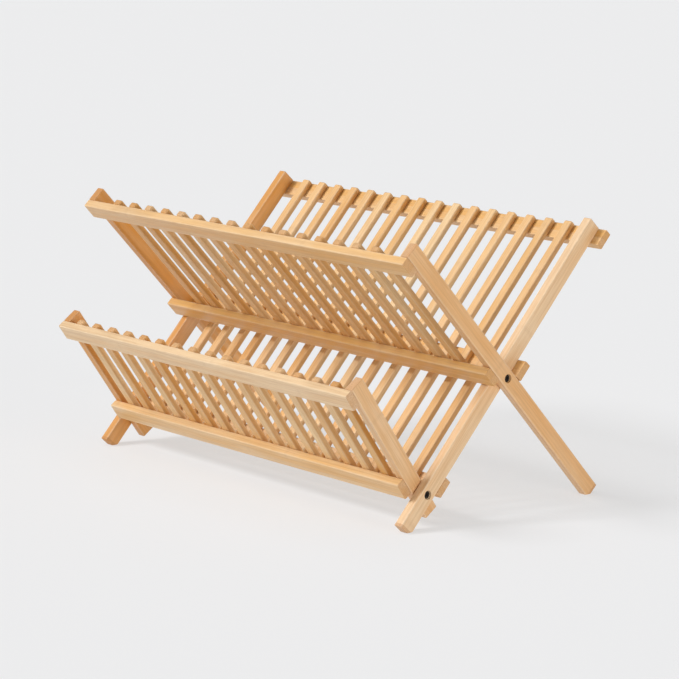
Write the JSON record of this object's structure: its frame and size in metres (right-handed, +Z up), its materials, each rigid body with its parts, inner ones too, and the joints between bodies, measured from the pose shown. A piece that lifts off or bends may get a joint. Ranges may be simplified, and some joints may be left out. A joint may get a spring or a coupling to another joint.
{
  "type": "folding dish drying rack",
  "caption": "Two-tier folding bamboo dish rack: three slatted frames cross on side pivots, hold plates on edge in open troughs and fold nearly flat.",
  "frame": {"origin": "on the floor, under the middle of the open rack's outline", "axes": "+X along the rails to the right, +Y to the back, +Z up"},
  "size_m": [0.4586, 0.3067, 0.2572],
  "materials": {
    "stile_bamboo": "satin lacquered bamboo",
    "rail_bamboo": "satin lacquered bamboo",
    "slat_bamboo": "satin lacquered bamboo",
    "brad_steel": "bright drawn steel",
    "pivot_screw_steel": "black oxide"
  },
  "bodies": {
    "main_frame": {"main_stile_left": "stile_bamboo", "main_stile_right": "stile_bamboo", "main_rail_bottom": "rail_bamboo", "main_rail_middle": "rail_bamboo", "main_rail_top": "rail_bamboo", "main_slat_01": "slat_bamboo", "main_slat_02": "slat_bamboo", "main_slat_03": "slat_bamboo", "main_slat_04": "slat_bamboo", "main_slat_05": "slat_bamboo", "main_slat_06": "slat_bamboo", "main_slat_07": "slat_bamboo", "main_slat_08": "slat_bamboo", "main_slat_09": "slat_bamboo", "main_slat_10": "slat_bamboo", "main_slat_11": "slat_bamboo", "main_slat_12": "slat_bamboo", "main_slat_13": "slat_bamboo", "main_slat_14": "slat_bamboo", "main_slat_15": "slat_bamboo", "main_slat_16": "slat_bamboo", "main_brads": "brad_steel", "upper_pivot_screws": "pivot_screw_steel"},
    "upper_rack": {"upper_stile_left": "stile_bamboo", "upper_stile_right": "stile_bamboo", "upper_bar_bottom": "rail_bamboo", "upper_bar_top": "rail_bamboo", "upper_slat_01": "slat_bamboo", "upper_slat_02": "slat_bamboo", "upper_slat_03": "slat_bamboo", "upper_slat_04": "slat_bamboo", "upper_slat_05": "slat_bamboo", "upper_slat_06": "slat_bamboo", "upper_slat_07": "slat_bamboo", "upper_slat_08": "slat_bamboo", "upper_slat_09": "slat_bamboo", "upper_slat_10": "slat_bamboo", "upper_slat_11": "slat_bamboo", "upper_slat_12": "slat_bamboo", "upper_slat_13": "slat_bamboo", "upper_slat_14": "slat_bamboo", "upper_slat_15": "slat_bamboo", "upper_slat_16": "slat_bamboo", "upper_brads": "brad_steel"},
    "lower_rack": {"lower_stile_left": "stile_bamboo", "lower_stile_right": "stile_bamboo", "lower_bar_bottom": "rail_bamboo", "lower_bar_top": "rail_bamboo", "lower_slats_01_02": "slat_bamboo", "lower_slats_03_04": "slat_bamboo", "lower_slats_05_06": "slat_bamboo", "lower_slats_07_08": "slat_bamboo", "lower_slats_09_10": "slat_bamboo", "lower_slats_11_12": "slat_bamboo", "lower_slats_13_14": "slat_bamboo", "lower_slats_15_16": "slat_bamboo", "lower_brads": "brad_steel", "lower_pivot_screws": "pivot_screw_steel"}
  },
  "joints": [
    {"name": "upper_rack_fold", "type": "hinge", "parent": "main_frame", "child": "upper_rack", "pos_m": [0, 0.02349, 0.12473], "axis": [-1, 0, 0], "range_deg": [0, 83.5]},
    {"name": "lower_rack_fold", "type": "hinge", "parent": "main_frame", "child": "lower_rack", "pos_m": [0, -0.06448, 0.03038], "axis": [-1, 0, 0], "range_deg": [0, 75]}
  ],
  "couplings": [
    {"joint": "lower_rack_fold", "follows": "upper_rack_fold", "ratio": 0.898}
  ]
}
